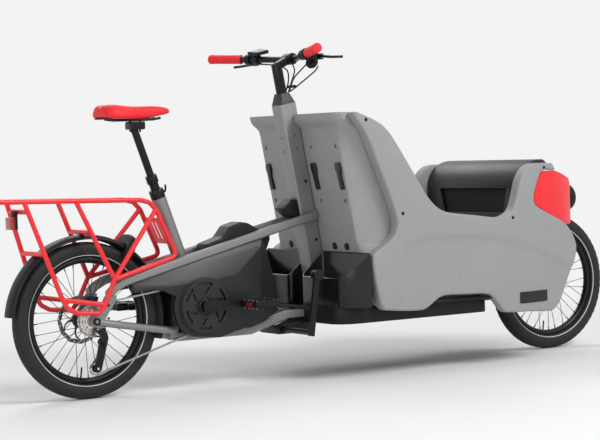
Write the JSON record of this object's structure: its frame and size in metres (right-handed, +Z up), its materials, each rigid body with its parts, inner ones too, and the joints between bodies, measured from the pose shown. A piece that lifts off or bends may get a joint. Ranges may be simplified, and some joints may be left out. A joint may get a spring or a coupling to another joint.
{
  "type": "cargo bicycle",
  "caption": "Front-loading cargo bicycle: open box between handlebar mast and front wheel, mid motor, rear rack, cable-linked steering, spinning wheels and cranks.",
  "frame": {"origin": "on the ground, under the middle of the bicycle's length and width", "axes": "+X forward, +Y to the rider's left, +Z up"},
  "size_m": [2.513, 0.711, 1.1424],
  "materials": {
    "frame_paint": "satin warm grey paint",
    "box_shell": "matte speckled grey foam shell",
    "red_paint": "satin coral-red paint",
    "red_plastic": "satin coral-red plastic",
    "black_plastic": "satin black plastic",
    "cover_plastic": "matte charcoal plastic",
    "black_metal": "satin black",
    "tyre_rubber": "matte black with a thin light stripe",
    "grip_rubber": "matte coral-red",
    "saddle_cover": "matte coral-red",
    "bright_steel": "bright steel",
    "lens": "gloss red"
  },
  "bodies": {
    "chassis": {"mast": "frame_paint", "headset_cap": "black_plastic", "seat_tube": "frame_paint", "right_top_tube": "frame_paint", "left_top_tube": "frame_paint", "chainstay_yoke": "frame_paint", "main_beam": "frame_paint", "floor_tray": "black_plastic", "box_back": "box_shell", "box_right_wall": "box_shell", "box_left_wall": "box_shell", "nose_cap": "box_shell", "right_nose_panel": "red_plastic", "left_nose_panel": "red_plastic", "hood": "black_plastic", "headlight": "black_plastic", "right_bin": "black_plastic", "left_bin": "black_plastic", "motor_unit": "black_plastic", "motor_cover": "cover_plastic", "right_drive_cover": "cover_plastic", "left_drive_cover": "cover_plastic", "battery": "black_plastic", "mast_console": "black_plastic", "rack_right": "red_paint", "rack_left": "red_paint", "tail_light": "lens", "rear_mudguard": "black_plastic", "ring_lock": "black_metal", "rear_caliper": "black_metal", "seatpost_lower": "black_metal", "chain": "bright_steel", "derailleur_body": "black_metal", "stand_bracket": "black_metal", "steering_cable": "bright_steel"},
    "rear_wheel_set": {"rear_tyre": "tyre_rubber", "rear_wheel": "black_metal", "rear_rotor": "bright_steel"},
    "freewheel": {"cassette": "bright_steel"},
    "front_fork": {"fork": "black_metal"},
    "front_wheel_set": {"front_tyre": "tyre_rubber", "front_wheel": "black_metal", "front_rotor": "bright_steel"},
    "crank": {"crankset": "black_metal"},
    "pedal_right": {"right_pedal": "black_plastic"},
    "pedal_left": {"left_pedal": "black_plastic"},
    "tension_cage": {"derailleur_cage": "black_metal"},
    "steering": {"steering_column": "black_metal", "handlebar": "black_metal", "right_grip": "grip_rubber", "left_grip": "grip_rubber", "right_control": "black_plastic", "left_control": "black_plastic", "control_cables": "black_plastic"},
    "lever_right": {"right_brake_lever": "black_metal"},
    "lever_left": {"left_brake_lever": "black_metal"},
    "saddle_post": {"seatpost_upper": "black_metal", "saddle": "saddle_cover"},
    "stand_legs": {"stand": "black_metal"},
    "lock_slide": {"lock_lever": "bright_steel"}
  },
  "joints": [
    {"name": "steering_turn", "type": "hinge", "parent": "chassis", "child": "steering", "pos_m": [-0.1495, 0, 0.943], "axis": [-0.1736, 0, 0.9848], "range_deg": [-28, 28]},
    {"name": "fork_turn", "type": "hinge", "parent": "chassis", "child": "front_fork", "pos_m": [0.83311, 0, 0.62148], "axis": [-0.342, 0, 0.9397], "range_deg": [-28, 28]},
    {"name": "front_wheel_spin", "type": "hinge", "parent": "front_fork", "child": "front_wheel_set", "pos_m": [1.0015, 0, 0.255], "axis": [0, 1, 0], "continuous": true},
    {"name": "rear_wheel_spin", "type": "hinge", "parent": "chassis", "child": "rear_wheel_set", "pos_m": [-0.9345, 0, 0.255], "axis": [0, 1, 0], "continuous": true},
    {"name": "crank_spin", "type": "hinge", "parent": "chassis", "child": "crank", "pos_m": [-0.5395, 0, 0.277], "axis": [0, 1, 0], "continuous": true},
    {"name": "freewheel_spin", "type": "hinge", "parent": "chassis", "child": "freewheel", "pos_m": [-0.9345, -0.0475, 0.255], "axis": [0, 1, 0], "continuous": true},
    {"name": "right_pedal_spin", "type": "hinge", "parent": "crank", "child": "pedal_right", "pos_m": [-0.3695, -0.1115, 0.277], "axis": [0, 1, 0], "continuous": true},
    {"name": "left_pedal_spin", "type": "hinge", "parent": "crank", "child": "pedal_left", "pos_m": [-0.7095, 0.1115, 0.277], "axis": [0, 1, 0], "continuous": true},
    {"name": "cage_swing", "type": "hinge", "parent": "chassis", "child": "tension_cage", "pos_m": [-0.9065, -0.06, 0.185], "axis": [0, 1, 0], "range_deg": [-10, 10], "stiffness_Nm_per_rad": 1.2, "deforming": ["chain"]},
    {"name": "right_lever_pull", "type": "hinge", "parent": "steering", "child": "lever_right", "pos_m": [-0.13305, -0.21181, 1.09404], "axis": [0, 0, 1], "range_deg": [-16, 0], "stiffness_Nm_per_rad": 0.8},
    {"name": "left_lever_pull", "type": "hinge", "parent": "steering", "child": "lever_left", "pos_m": [-0.13305, 0.21181, 1.09404], "axis": [0, 0, 1], "range_deg": [0, 16], "stiffness_Nm_per_rad": 0.8},
    {"name": "post_drop", "type": "slide", "parent": "chassis", "child": "saddle_post", "axis": [-0.3338, 0, 0.9426], "range_m": [-0.1, 0]},
    {"name": "stand_swing", "type": "hinge", "parent": "chassis", "child": "stand_legs", "pos_m": [-0.2175, 0, 0.172], "axis": [0, 1, 0], "range_deg": [-150, 0]},
    {"name": "lock_slide", "type": "slide", "parent": "chassis", "child": "lock_slide", "axis": [-0.5446, 0, -0.8387], "range_m": [0, 0.028]}
  ],
  "couplings": [
    {"joint": "fork_turn", "follows": "steering_turn", "ratio": 1},
    {"joint": "freewheel_spin", "follows": "crank_spin", "ratio": 1.6}
  ]
}
